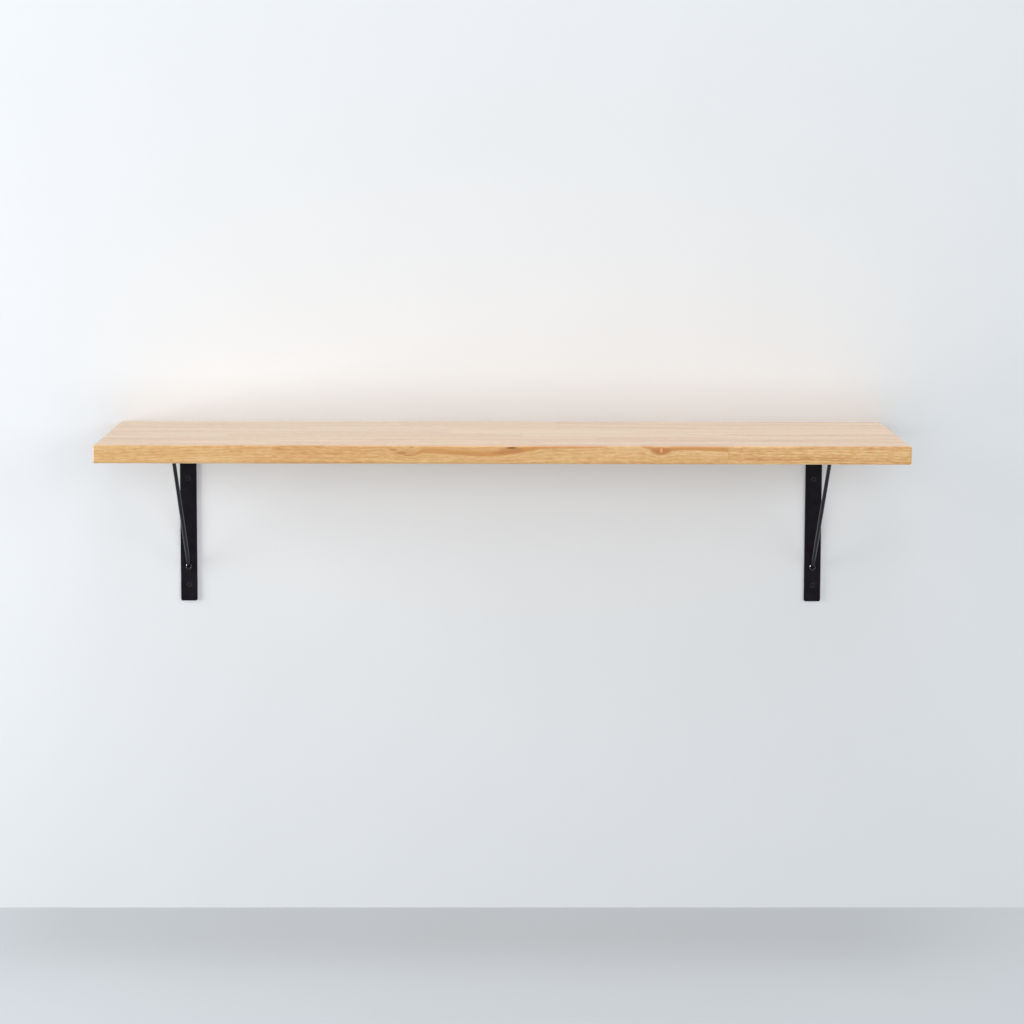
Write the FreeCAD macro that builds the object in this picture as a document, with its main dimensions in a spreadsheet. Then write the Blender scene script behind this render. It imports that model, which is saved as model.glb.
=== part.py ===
import FreeCAD, Part
import math
import os

import Sketcher
from FreeCAD import Placement, Rotation, Vector

# Wall shelf: a board glued up from finger-jointed blocks of wood, carried by two welded
# flat-bar brackets. Millimetres. +X runs along the shelf, +Y into the wall, +Z up. The
# origin is the middle of the board's rear face, in the plane of the wall.

SIZES = (
    ("board_length", 1200, "overall length of the board"),
    ("board_depth", 300, "depth of the board, wall to front edge"),
    ("board_thickness", 27, "thickness of the board"),
    ("board_rounding", 3, "radius on the outer edges of the board"),
    ("finger_length", 10, "length of a finger in the end joints"),
    ("fingers_per_row", 8, "fingers across one row of blocks"),
    ("bracket_inset", 105, "end of the board to the middle of a bracket"),
    ("strap_width", 26, "width of the flat bar"),
    ("strap_thickness", 4, "thickness of the flat bar"),
    ("strap_edge_rounding", 0.5, "radius on the long edges of the flat bar"),
    ("strap_corner_radius", 3, "radius on the corners of both ends of the bar"),
    ("bend_inner_radius", 2, "inside radius of the bend"),
    ("leg_length", 260, "underside of the board to the foot of the leg"),
    ("arm_length", 250, "wall to the tip of the arm"),
    ("near_hole_offset", 64, "outside of the bend to the nearer hole, leg and arm"),
    ("far_hole_inset", 26, "end of the bar to the farther hole, leg and arm"),
    ("brace_inset", 55, "end of the bar to the brace, leg and arm"),
    ("brace_diameter", 6, "diameter of the round brace"),
    ("weld_leg", 2.5, "how far a weld spreads beyond the brace"),
    ("weld_height", 3.5, "how far a weld rises from the flat bar"),
    ("screw_diameter", 4.5, "thread diameter of every screw"),
    ("screw_shank_diameter", 3.3, "diameter of the plain shank"),
    ("screw_root_diameter", 2.9, "root diameter of the thread"),
    ("screw_pitch", 2, "thread pitch"),
    ("screw_head_diameter", 8.5, "diameter of the countersunk head"),
    ("screw_head_rim", 0.3, "straight rim above the cone of the head"),
    ("screw_head_sink", 0.2, "how far a head sits below the face of the bar"),
    ("wall_screw_neck", 16, "plain shank of a wall screw, between cone and thread"),
    ("board_screw_neck", 3, "plain shank of a board screw, between cone and thread"),
    ("screw_tip_length", 6, "length of the point"),
    ("wall_screw_length", 50, "length of a wall screw"),
    ("board_screw_length", 22, "length of a screw up into the board"),
    ("recess_span", 4.2, "across the arms of the cross recess"),
    ("recess_width", 1.1, "width of one arm of the cross recess"),
    ("recess_depth", 1.6, "depth of the cross recess"),
    ("screw_clearance", 0.25, "radial gap between a screw and the bar"),
    ("pilot_clearance", 0.05, "radial gap between a thread and the wood"),
    ("pilot_end_gap", 0.5, "gap beyond the tip of a screw in the wood"),
)

# Lengths of the blocks from left to right in each row of the board, front row first.
# They are shares: a row's blocks fill the board's length in these proportions.
ROWS = (
    (267, 668, 265),
    (410, 330, 460),
    (185, 445, 310, 260),
    (520, 290, 390),
    (300, 385, 215, 300),
    (445, 240, 515),
)

HOLE_CUT_ANGLE = 90.0       # countersinks and screw heads, degrees
SHARP_EDGE_ANGLE = 30.0     # two faces that meet at more than this leave a sharp edge, degrees
TOUCH = 1e-4                # two places nearer than this are the same place

doc = FreeCAD.newDocument("wall_shelf")
sheet = doc.addObject("Spreadsheet::Sheet", "size")


def fill_sheet():
    """Write every driving dimension and every block's share into the spreadsheet."""
    entries = list(SIZES)
    for row, lengths in enumerate(ROWS, start=1):
        for block, length in enumerate(lengths, start=1):
            note = f"share of row {row} taken by block {block}"
            entries.append((f"row{row}_block{block}_share", length, note))
    for line, (alias, number, note) in enumerate(entries, start=1):
        sheet.set(f"A{line}", alias)
        sheet.set(f"B{line}", str(number))
        sheet.setAlias(f"B{line}", alias)
        sheet.set(f"C{line}", note)
    doc.recompute()


def value(expression):
    """Work out an expression on the spreadsheet's values."""
    return float(sheet.evalExpression(expression))


def bind(thing, **expressions):
    """Tie properties of an object to expressions; a double underscore stands for a dot."""
    for name, expression in expressions.items():
        thing.setExpression(name.replace("__", "."), expression)
    return thing


def place(thing, across="0", back="0", up="0"):
    """Tie an object's position to expressions."""
    bind(thing, Placement__Base__x=across, Placement__Base__y=back, Placement__Base__z=up)


# --------------------------------------------------------------------------- sketches

def new_sketch(body, name, role, offset="0"):
    """A sketch on one of the body's own origin planes, moved along its normal."""
    plane = next(item for item in body.Origin.OriginFeatures if item.Role == role)
    sketch = body.newObject("Sketcher::SketchObject", name)
    sketch.AttachmentSupport = [(plane, "")]
    sketch.MapMode = "FlatFace"
    bind(sketch, AttachmentOffset__Base__z=offset)
    return sketch


def fix_point(sketch, geometry, point, across, up):
    """Fix a point of a sketch at two expressions, measured from the sketch's origin."""
    for kind, expression in (("DistanceX", across), ("DistanceY", up)):
        constraint = Sketcher.Constraint(kind, -1, 1, geometry, point, value(expression))
        number = sketch.addConstraint(constraint)
        sketch.setExpression(f"Constraints[{number}]", expression)


def draw_outline(body, name, role, corners, offset="0"):
    """A closed outline of straight lines; each corner is a pair of expressions."""
    sketch = new_sketch(body, name, role, offset)
    points = [Vector(value(across), value(up), 0) for across, up in corners]
    count = len(points)
    for index, point in enumerate(points):
        sketch.addGeometry(Part.LineSegment(point, points[(index + 1) % count]))
    for index in range(count):
        following = (index + 1) % count
        sketch.addConstraint(Sketcher.Constraint("Coincident", index, 2, following, 1))
    for index, (across, up) in enumerate(corners):
        fix_point(sketch, index, 1, across, up)
    return sketch


def draw_circles(body, name, role, centres, diameter, offset="0"):
    """Circles of one diameter; each centre is a pair of expressions."""
    sketch = new_sketch(body, name, role, offset)
    for index, (across, up) in enumerate(centres):
        centre = Vector(value(across), value(up), 0)
        sketch.addGeometry(Part.Circle(centre, Vector(0, 0, 1), value(diameter) / 2))
        fix_point(sketch, index, 3, across, up)
        constraint = Sketcher.Constraint("Diameter", index, value(diameter))
        number = sketch.addConstraint(constraint)
        sketch.setExpression(f"Constraints[{number}]", diameter)
    return sketch


# --------------------------------------------------------------------------- features

def add_feature(body, kind, name, profile=None, **expressions):
    """Add a feature to a body, from a sketch if it has one, and make it the tip."""
    feature = body.newObject(f"PartDesign::{kind}", name)
    if profile is not None:
        feature.Profile = profile
        profile.Visibility = False
    bind(feature, **expressions)
    body.Tip = feature
    return feature


def add_pocket(body, name, profile, depth=None, upward=False):
    """Cut a sketch out of a body, right through it or to a depth."""
    pocket = add_feature(body, "Pocket", name, profile)
    pocket.Type = "ThroughAll" if depth is None else "Length"
    pocket.Reversed = upward
    if depth is not None:
        bind(pocket, Length=depth)
    return pocket


def add_row_pattern(body, name, original, axis_role, length, occurrences):
    """Repeat a feature in a straight row over a length."""
    axis = next(item for item in body.Origin.OriginFeatures if item.Role == axis_role)
    pattern = add_feature(body, "LinearPattern", name, Length=length, Occurrences=occurrences)
    pattern.Originals = [original]
    pattern.Direction = (axis, [""])
    return pattern


def add_fillet(body, name, radius, is_wanted):
    """Round those edges of the body's tip that a test picks out."""
    base = body.Tip
    doc.recompute()
    edges = base.Shape.Edges
    names = [f"Edge{index}" for index, edge in enumerate(edges, start=1) if is_wanted(edge)]
    fillet = add_feature(body, "Fillet", name, Radius=radius)
    fillet.Base = (base, names)
    return fillet


def is_at(edge, x=None, y=None, z=None):
    """Whether the whole of an edge lies at the given coordinates."""
    box = edge.BoundBox
    spans = ((x, box.XMin, box.XMax), (y, box.YMin, box.YMax), (z, box.ZMin, box.ZMax))
    return all(at is None or max(abs(low - at), abs(high - at)) < TOUCH
               for at, low, high in spans)


def sharp_edges(shape):
    """The edges of a shape whose two faces meet at an angle."""
    found = []
    for edge in shape.Edges:
        faces = shape.ancestorsOfType(edge, Part.Face)
        middle = edge.valueAt((edge.FirstParameter + edge.LastParameter) / 2)
        normals = [face.normalAt(*face.Surface.parameter(middle)) for face in faces]
        if len(normals) == 2:
            angle = math.degrees(normals[0].getAngle(normals[1]))
            if angle > SHARP_EDGE_ANGLE:
                found.append(edge)
    return found


# --------------------------------------------------------------------------- the board

ROW_WIDTH = f"(size.board_depth / {len(ROWS)})"
FINGER_PITCH = f"({ROW_WIDTH} / size.fingers_per_row)"
BRACKET_X = "(size.board_length / 2 - size.bracket_inset)"
ARM_HOLES = ("size.near_hole_offset", "(size.arm_length - size.far_hole_inset)")
BOARD_SCREW_DEPTH = (
    "(size.board_screw_length - size.strap_thickness + size.screw_head_sink"
    " + size.pilot_end_gap)"
)


def share_before(row, block):
    """Expression for the length of a row to the left of a block, blocks counted from 1."""
    shares = [f"size.row{row}_block{index}_share" for index in range(1, len(ROWS[row - 1]) + 1)]
    before = " + ".join(shares[:block - 1]) or "0"
    return f"(size.board_length * ({before}) / ({' + '.join(shares)}))"


def cut_fingers(body, end, length):
    """Cut the row of notches that leaves the fingers on one end of a block."""
    if end == "right":
        tip = f"({length} - size.finger_length)"
        notch = ((tip, "0"), (length, f"-{FINGER_PITCH} / 2"), (length, f"{FINGER_PITCH} / 2"))
        span = ROW_WIDTH
        count = "size.fingers_per_row + 1"
    else:
        notch = (("size.finger_length", f"{FINGER_PITCH} / 2"), ("0", "0"), ("0", FINGER_PITCH))
        span = f"({ROW_WIDTH} - {FINGER_PITCH})"
        count = "size.fingers_per_row"
    sketch = draw_outline(body, f"{body.Name}_{end}_notch", "XY_Plane", notch)
    pocket = add_pocket(body, f"{body.Name}_{end}_cut", sketch, upward=True)
    add_row_pattern(body, f"{body.Name}_{end}_fingers", pocket, "Y_Axis", span, count)


def pilot_holes_in(row, block_left, block_right):
    """The bored places, as expressions, that fall inside one block."""
    found = []
    row_front = value(f"-size.board_depth + {ROW_WIDTH} * {row - 1}")
    row_back = row_front + value(ROW_WIDTH)
    radius = value("size.screw_diameter / 2 + size.pilot_clearance")
    for side in ("-1", "1"):
        for reach in ARM_HOLES:
            x = value(f"{side} * {BRACKET_X}")
            y = -value(reach)
            beside = block_left - radius < x < block_right + radius
            if beside and row_front - radius < y < row_back + radius:
                found.append((f"{side} * {BRACKET_X}", f"-{reach}"))
    return found


def make_block(row, block):
    """One block of the board, with its fingers, rounded edges and pilot holes."""
    first = block == 1
    last = block == len(ROWS[row - 1])
    overlap = "size.finger_length / 2"
    left = f"(-size.board_length / 2 + {share_before(row, block)} - {0 if first else overlap})"
    right = (f"(-size.board_length / 2 + {share_before(row, block + 1)}"
             f" + {0 if last else overlap})")
    length = f"({right} - {left})"
    front = f"(-size.board_depth + {ROW_WIDTH} * {row - 1})"

    name = f"board_row{row}_block{block}"
    body = doc.addObject("PartDesign::Body", name)
    body.Label = name
    corners = (("0", "0"), (length, "0"), (length, ROW_WIDTH), ("0", ROW_WIDTH))
    sketch = draw_outline(body, f"{name}_outline", "XY_Plane", corners)
    add_feature(body, "Pad", f"{name}_stock", sketch, Length="size.board_thickness")

    outer = []
    if row == 1:
        outer.append({"y": 0.0})
    if row == len(ROWS):
        outer.append({"y": value(ROW_WIDTH)})
    if first:
        outer.append({"x": 0.0})
    if last:
        outer.append({"x": value(length)})
    top = value("size.board_thickness")
    flats = [dict(side, z=height) for side in outer for height in (0.0, top)]
    uprights = [dict(a, **b) for a in outer for b in outer if "x" in a and "y" in b]
    if outer:
        add_fillet(body, f"{name}_rounding", "size.board_rounding",
                   lambda edge: any(is_at(edge, **spot) for spot in flats + uprights))
    if not first:
        cut_fingers(body, "left", length)
    if not last:
        cut_fingers(body, "right", length)

    holes = pilot_holes_in(row, value(left), value(right))
    if holes:
        centres = [(f"{x} - {left}", f"{y} - {front}") for x, y in holes]
        bore = "size.screw_diameter + 2 * size.pilot_clearance"
        sketch = draw_circles(body, f"{name}_pilots", "XY_Plane", centres, bore)
        add_pocket(body, f"{name}_bores", sketch, depth=BOARD_SCREW_DEPTH, upward=True)
    place(body, left, front, "-size.board_thickness / 2")
    return body


# --------------------------------------------------------------------------- brackets

LEG_HOLES = ("size.near_hole_offset", "(size.leg_length - size.far_hole_inset)")
HOLE_DIAMETER = "size.screw_diameter + 2 * size.screw_clearance"
SINK_DIAMETER = (
    "size.screw_head_diameter + 2 * (size.screw_head_sink + size.screw_head_rim)"
)
FOOT_DROP = "(size.leg_length - size.brace_inset)"
HEAD_REACH = "(size.arm_length - size.brace_inset)"


def add_countersunk_holes(body, name, sketch, upward):
    """Through holes with a countersink on the face that the sketch lies on."""
    doc.recompute()
    hole = add_feature(body, "Hole", name, sketch)
    doc.recompute()
    hole.Threaded = False
    hole.DepthType = "ThroughAll"
    hole.HoleCutType = "Countersink"
    hole.HoleCutCustomValues = True
    hole.HoleCutCountersinkAngle = HOLE_CUT_ANGLE
    hole.Reversed = upward
    bind(hole, Diameter=HOLE_DIAMETER, HoleCutDiameter=SINK_DIAMETER)
    return hole


def make_strap(name):
    """The bent flat bar: a leg down the wall and an arm under the board."""
    body = doc.addObject("PartDesign::Body", name)
    body.Label = name
    corners = (
        ("0", "0"),
        ("0", "-size.leg_length"),
        ("-size.strap_thickness", "-size.leg_length"),
        ("-size.strap_thickness", "-size.strap_thickness"),
        ("-size.arm_length", "-size.strap_thickness"),
        ("-size.arm_length", "0"),
    )
    sketch = draw_outline(body, f"{name}_profile", "YZ_Plane", corners)
    pad = add_feature(body, "Pad", f"{name}_bar", sketch, Length="size.strap_width")
    pad.Midplane = True

    thickness = value("size.strap_thickness")
    add_fillet(body, f"{name}_bend_outside", "size.bend_inner_radius + size.strap_thickness",
               lambda edge: is_at(edge, y=0, z=0))
    add_fillet(body, f"{name}_bend_inside", "size.bend_inner_radius",
               lambda edge: is_at(edge, y=-thickness, z=-thickness))
    foot = -value("size.leg_length")
    tip = -value("size.arm_length")
    sides = [value("size.strap_width / 2"), -value("size.strap_width / 2")]
    ends = [dict(x=side, z=foot) for side in sides] + [dict(x=side, y=tip) for side in sides]
    add_fillet(body, f"{name}_corners", "size.strap_corner_radius",
               lambda edge: any(is_at(edge, **spot) for spot in ends))
    doc.recompute()
    keys = {edge.hashCode() for edge in sharp_edges(body.Tip.Shape)}
    add_fillet(body, f"{name}_soft_edges", "size.strap_edge_rounding",
               lambda edge: edge.hashCode() in keys)

    leg_centres = [("0", f"-{drop}") for drop in LEG_HOLES]
    leg_sketch = draw_circles(body, f"{name}_leg_centres", "XZ_Plane", leg_centres,
                              HOLE_DIAMETER, offset="size.strap_thickness")
    add_countersunk_holes(body, f"{name}_leg_holes", leg_sketch, upward=False)
    arm_centres = [("0", f"-{reach}") for reach in ARM_HOLES]
    arm_sketch = draw_circles(body, f"{name}_arm_centres", "XY_Plane", arm_centres,
                              HOLE_DIAMETER, offset="-size.strap_thickness")
    add_countersunk_holes(body, f"{name}_arm_holes", arm_sketch, upward=True)
    return body


def make_inner_corner(name):
    """The space inside the bend, bounded by the leg's front and the arm's underside."""
    corner = doc.addObject("Part::Box", name)
    bind(corner, Length="2 * size.strap_width", Width="size.arm_length", Height="size.leg_length")
    place(corner, "-size.strap_width", "-size.strap_thickness - size.arm_length",
          "-size.strap_thickness - size.leg_length")
    return corner


def make_rod(name):
    """The brace's round bar, long enough to run into the leg and the arm."""
    rod = doc.addObject("Part::Cylinder", name)
    run = f"({HEAD_REACH} - size.strap_thickness)"
    rise = f"({FOOT_DROP} - size.strap_thickness)"
    span = f"sqrt({run} ^ 2 + {rise} ^ 2)"
    spare = "(2 * size.brace_diameter)"
    bind(rod, Radius="size.brace_diameter / 2", Height=f"{span} + 2 * {spare}")
    rod.Placement = Placement(Vector(), Rotation(Vector(1, 0, 0), 1))
    bind(rod, Placement__Rotation__Angle=f"atan2({run}; {rise})")
    place(rod, "0", f"-size.strap_thickness + {spare} * {run} / {span}",
          f"-{FOOT_DROP} - {spare} * {rise} / {span}")
    return rod


def make_brace(name):
    """The round brace, its ends cut to lie flat on the leg and on the arm."""
    brace = doc.addObject("Part::Common", name)
    brace.Label = name
    brace.Base = make_rod(f"{name}_rod")
    brace.Tool = make_inner_corner(f"{name}_space")
    return brace


def make_weld(name, at_foot):
    """A weld: a low mound round the end of the brace, on the leg or on the arm."""
    mound = doc.addObject("Part::Ellipsoid", f"{name}_mound")
    mound.Angle1, mound.Angle2, mound.Angle3 = -90, 90, 360
    long_way = "size.brace_diameter / 2 * sqrt(2) + size.weld_leg"
    wide_way = "size.brace_diameter / 2 + size.weld_leg"
    tall_way = "size.weld_height"
    if at_foot:
        bind(mound, Radius1=long_way, Radius2=wide_way, Radius3=tall_way)
        place(mound, "0", "-size.strap_thickness", f"-{FOOT_DROP}")
    else:
        bind(mound, Radius1=tall_way, Radius2=wide_way, Radius3=long_way)
        place(mound, "0", f"-{HEAD_REACH}", "-size.strap_thickness")
    outside = doc.addObject("Part::Common", f"{name}_outside")
    outside.Base = mound
    outside.Tool = make_inner_corner(f"{name}_space")
    weld = doc.addObject("Part::Cut", name)
    weld.Label = name
    weld.Base = outside
    weld.Tool = make_rod(f"{name}_rod")
    return weld


# --------------------------------------------------------------------------- screws

def make_screw(name, length, neck):
    """A countersunk wood screw pointing along its own +Z, the top of its head at zero."""
    body = doc.addObject("PartDesign::Body", name)
    head = "(size.screw_head_diameter / 2)"
    crest = "(size.screw_diameter / 2)"
    shank = "(size.screw_shank_diameter / 2)"
    root = "(size.screw_root_diameter / 2)"
    cone_end = f"(size.screw_head_rim + {head} - {shank})"
    thread_start = f"({cone_end} + {neck} + {crest} - {shank})"
    half_outline = (
        ("0", "0"),
        (head, "0"),
        (head, "size.screw_head_rim"),
        (shank, cone_end),
        (shank, f"({cone_end} + {neck})"),
        (crest, thread_start),
        (crest, f"({length} - size.screw_tip_length)"),
        ("0", length),
    )
    sketch = draw_outline(body, f"{name}_outline", "XZ_Plane", half_outline)
    turned = add_feature(body, "Revolution", f"{name}_turned", sketch)
    turned.ReferenceAxis = (sketch, ["V_Axis"])
    turned.Angle = 360

    crest_flat = "(size.screw_pitch / 10)"
    notch = (
        (root, f"{thread_start} + (size.screw_pitch - {crest_flat}) / 2"),
        (crest, thread_start),
        (crest, f"{thread_start} + size.screw_pitch - {crest_flat}"),
    )
    sketch = draw_outline(body, f"{name}_notch", "XZ_Plane", notch)
    groove = add_feature(body, "Groove", f"{name}_groove", sketch)
    groove.ReferenceAxis = (sketch, ["V_Axis"])
    groove.Angle = 360
    turns = f"floor(({length} - size.screw_tip_length - {thread_start}) / size.screw_pitch)"
    add_row_pattern(body, f"{name}_thread", groove, "Z_Axis",
                    f"({turns} - 1) * size.screw_pitch", turns)

    wide = "(size.recess_span / 2)"
    thin = "(size.recess_width / 2)"
    quarter = ((wide, thin), (thin, thin), (thin, wide))
    cross = []
    for flip_x, flip_y in ((1, 1), (-1, 1), (-1, -1), (1, -1)):
        turn = quarter if flip_x * flip_y > 0 else quarter[::-1]
        cross.extend((f"{flip_x} * {x}", f"{flip_y} * {y}") for x, y in turn)
    sketch = draw_outline(body, f"{name}_cross", "XY_Plane", cross)
    add_pocket(body, f"{name}_recess", sketch, depth="size.recess_depth", upward=True)
    return body


def make_screw_pair(name, kind, spots):
    """Two screws as one group; each spot is the place of a head in the bracket's frame."""
    pair = doc.addObject("Part::Compound", name)
    pair.Label = name
    screws = []
    for number, (back, up) in enumerate(spots, start=1):
        screw = make_screw(f"{name}_{number}", f"size.{kind}_length", f"size.{kind}_neck")
        if kind == "wall_screw":
            screw.Placement = Placement(Vector(), Rotation(Vector(1, 0, 0), -90))
        place(screw, "0", back, up)
        screws.append(screw)
    pair.Links = screws
    return pair


def make_bracket(side, sign):
    """One whole bracket with its screws, as separate pieces placed under the board."""
    sunk = "size.screw_head_sink - size.strap_thickness"
    wall_spots = [(sunk, f"-{drop}") for drop in LEG_HOLES]
    board_spots = [(f"-{reach}", sunk) for reach in ARM_HOLES]
    pieces = [
        make_strap(f"{side}_strap"),
        make_brace(f"{side}_brace"),
        make_weld(f"{side}_foot_weld", at_foot=True),
        make_weld(f"{side}_head_weld", at_foot=False),
        make_screw_pair(f"{side}_wall_screws", "wall_screw", wall_spots),
        make_screw_pair(f"{side}_board_screws", "board_screw", board_spots),
    ]
    for piece in pieces:
        place(piece, f"{sign} * {BRACKET_X}", "0", "-size.board_thickness / 2")
    return pieces


# --------------------------------------------------------------------------- the model

def check(nodes):
    """Stop if any object failed or any piece has no valid shape."""
    failed = [item.Name for item in doc.Objects if {"Invalid", "Error"} & set(item.State)]
    broken = [node.Label for node in nodes if node.Shape.isNull() or not node.Shape.isValid()]
    empty = [node.Label for node in nodes if not node.Shape.Solids]
    if failed or broken or empty:
        raise RuntimeError(f"failed {failed}, broken {broken}, empty {empty}")


def main():
    """Build every piece, check them all and write each to its own file."""
    fill_sheet()
    nodes = [make_block(row, block)
             for row, lengths in enumerate(ROWS, start=1)
             for block in range(1, len(lengths) + 1)]
    nodes += make_bracket("left", "-1")
    nodes += make_bracket("right", "1")
    doc.recompute()
    check(nodes)
    os.makedirs("parts", exist_ok=True)
    for node in nodes:
        node.Shape.exportStep(os.path.join("parts", f"{node.Label}.step"))
        solids = len(node.Shape.Solids)
        print(f"{node.Label}: {solids} solid(s), {node.Shape.Volume / 1000:.2f} cm3")


main()
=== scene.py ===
"""Wall shelf: a finger-jointed wooden board on two welded steel brackets.

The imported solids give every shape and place. This script dresses them, lays
the rippled weld beads, and stages the shelf on a pale wall in soft light.
"""

import logging
import math
from dataclasses import dataclass
from enum import Enum

import bmesh
import bpy
from mathutils import Euler, Matrix, Vector


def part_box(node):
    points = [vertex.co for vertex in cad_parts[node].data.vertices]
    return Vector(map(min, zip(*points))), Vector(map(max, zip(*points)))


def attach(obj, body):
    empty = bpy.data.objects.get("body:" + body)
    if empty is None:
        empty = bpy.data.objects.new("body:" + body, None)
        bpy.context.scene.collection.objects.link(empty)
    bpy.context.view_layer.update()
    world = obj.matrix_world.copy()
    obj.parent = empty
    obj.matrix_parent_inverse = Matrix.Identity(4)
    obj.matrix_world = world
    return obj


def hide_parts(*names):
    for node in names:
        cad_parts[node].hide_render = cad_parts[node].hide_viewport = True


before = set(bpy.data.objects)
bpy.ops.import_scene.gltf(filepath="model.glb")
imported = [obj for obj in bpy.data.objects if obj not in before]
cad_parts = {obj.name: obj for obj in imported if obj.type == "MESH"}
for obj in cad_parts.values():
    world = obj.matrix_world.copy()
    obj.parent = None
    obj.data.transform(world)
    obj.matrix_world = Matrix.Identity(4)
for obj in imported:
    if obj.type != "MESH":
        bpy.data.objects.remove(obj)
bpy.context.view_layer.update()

BODY = "root"
QUARTER_TURN = math.pi / 2
FULL_TURN = 2.0 * math.pi
SAME_PLACE = 1e-5
WAVE_PITCH = 0.314  # how far apart the rings of a wave texture of scale 1 lie

Colour = tuple[float, float, float]
Point = tuple[float, float, float]
Socket = bpy.types.NodeSocket
Node = bpy.types.Node

log = logging.getLogger("shelf")


class NodeSheet:
    """A material's node tree, with short calls that add and wire its nodes."""

    def __init__(self, name: str) -> None:
        """Starts an empty material.

        Args:
            name: The material's name.
        """
        self.material = bpy.data.materials.new(name)
        self.material.use_nodes = True
        self.tree = self.material.node_tree
        self.tree.nodes.clear()
        self.place = self.node("ShaderNodeTexCoord").outputs["Object"]

    def node(self, kind: str, inputs: dict | None = None, **settings: object) -> Node:
        """Adds one node.

        Args:
            kind: The node's type name.
            inputs: A value or an output socket for each named or numbered input.
            **settings: The node's own properties.

        Returns:
            The new node.
        """
        made = self.tree.nodes.new(kind)
        for key, value in settings.items():
            setattr(made, key, value)
        for key, value in (inputs or {}).items():
            if isinstance(value, Socket):
                self.tree.links.new(value, made.inputs[key])
            else:
                made.inputs[key].default_value = value
        return made

    def math(self, operation: str, *values: "Socket | float") -> Socket:
        """Works out one sum.

        Args:
            operation: The Math node's operation.
            *values: The numbers or sockets that it takes.

        Returns:
            The result's socket.
        """
        return self.node("ShaderNodeMath", dict(enumerate(values)), operation=operation).outputs[0]

    def stretched(self, vector: Socket, scale: Point) -> Socket:
        """Scales a coordinate along each axis."""
        inputs = {0: vector, 1: scale}
        return self.node("ShaderNodeVectorMath", inputs, operation="MULTIPLY").outputs[0]

    def shifted(self, vector: Socket, by: "Socket | Point") -> Socket:
        """Moves a coordinate."""
        inputs = {0: vector, 1: by}
        return self.node("ShaderNodeVectorMath", inputs, operation="ADD").outputs[0]

    def axes(self, vector: Socket) -> tuple[Socket, Socket, Socket]:
        """Splits a coordinate into its three numbers."""
        split = self.node("ShaderNodeSeparateXYZ", {0: vector})
        return split.outputs[0], split.outputs[1], split.outputs[2]

    def noise(self, vector: Socket, detail: float = 2.0, roughness: float = 0.5,
              output: str = "Fac") -> Socket:
        """Adds a noise one unit across.

        Args:
            vector: Where it is read, already scaled.
            detail: How many finer layers it has.
            roughness: How strong those layers are.
            output: "Fac" for a number or "Color" for three.

        Returns:
            The noise's socket.
        """
        inputs = {"Vector": vector, "Scale": 1.0, "Detail": detail, "Roughness": roughness}
        return self.node("ShaderNodeTexNoise", inputs).outputs[output]

    def speckle(self, per_metre: float, detail: float = 3.0, roughness: float = 0.6) -> Socket:
        """Adds a noise that is as fine along every axis.

        Args:
            per_metre: How many units of it lie on one metre.
            detail: How many finer layers it has.
            roughness: How strong those layers are.

        Returns:
            The noise's socket.
        """
        scale = (per_metre, per_metre, per_metre)
        return self.noise(self.stretched(self.place, scale), detail, roughness)

    def remap(self, value: Socket, low: float, high: float, to_low: float = 0.0,
              to_high: float = 1.0, smooth: bool = False) -> Socket:
        """Stretches one range of numbers onto another, and holds it there.

        Args:
            value: The number to change.
            low: Where the range starts.
            high: Where the range ends.
            to_low: What low becomes.
            to_high: What high becomes.
            smooth: Whether the change eases in and out.

        Returns:
            The changed number's socket.
        """
        inputs = {
            "Value": value, "From Min": low, "From Max": high, "To Min": to_low, "To Max": to_high,
        }
        kind = "SMOOTHSTEP" if smooth else "LINEAR"
        return self.node("ShaderNodeMapRange", inputs, interpolation_type=kind).outputs[0]

    def blend(self, share: "Socket | float", under: "Socket | Colour", over: "Socket | Colour",
              mode: str = "MIX") -> Socket:
        """Lays one colour over another.

        Args:
            share: How much of the upper colour shows.
            under: The lower colour.
            over: The upper colour.
            mode: The Mix node's blending mode.

        Returns:
            The mixed colour's socket.
        """
        under, over = (c if isinstance(c, Socket) else (*c, 1.0) for c in (under, over))
        made = self.node("ShaderNodeMix", data_type="RGBA", blend_type=mode)
        for key, value in ((0, share), (6, under), (7, over)):
            if isinstance(value, Socket):
                self.tree.links.new(value, made.inputs[key])
            else:
                made.inputs[key].default_value = value
        return made.outputs[2]

    def ramp(self, value: Socket, stops: tuple[tuple[float, Colour], ...]) -> Socket:
        """Turns a number into a colour.

        Args:
            value: The number, from 0 to 1.
            stops: A place and a colour for each stop.

        Returns:
            The colour's socket.
        """
        made = self.node("ShaderNodeValToRGB", {0: value})
        elements = made.color_ramp.elements
        while len(elements) < len(stops):
            elements.new(1.0)
        for element, (place, colour) in zip(elements, stops):
            element.position, element.color = place, (*colour, 1.0)
        return made.outputs[0]

    def curve(self, value: Socket, points: tuple[tuple[float, float], ...]) -> Socket:
        """Follows a line drawn through the given points.

        Args:
            value: Where along the line, from 0 to 1.
            points: The line's points, both numbers from 0 to 1.

        Returns:
            The line's height, from 0 to 1.
        """
        made = self.node("ShaderNodeFloatCurve", {1: value})
        line = made.mapping.curves[0]
        while len(line.points) < len(points):
            line.points.new(0.5, 0.5)
        for point, place in zip(line.points, points):
            point.location, point.handle_type = place, "AUTO_CLAMPED"
        made.mapping.update()
        return made.outputs[0]

    def bump(self, height: Socket, distance: float, strength: float) -> Socket:
        """Raises a surface by a pattern.

        Args:
            height: The pattern, from 0 to 1.
            distance: How far 1 stands up, in metres.
            strength: How much of it shows.

        Returns:
            The surface direction's socket.
        """
        inputs = {"Height": height, "Distance": distance, "Strength": strength}
        return self.node("ShaderNodeBump", inputs).outputs[0]

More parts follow.
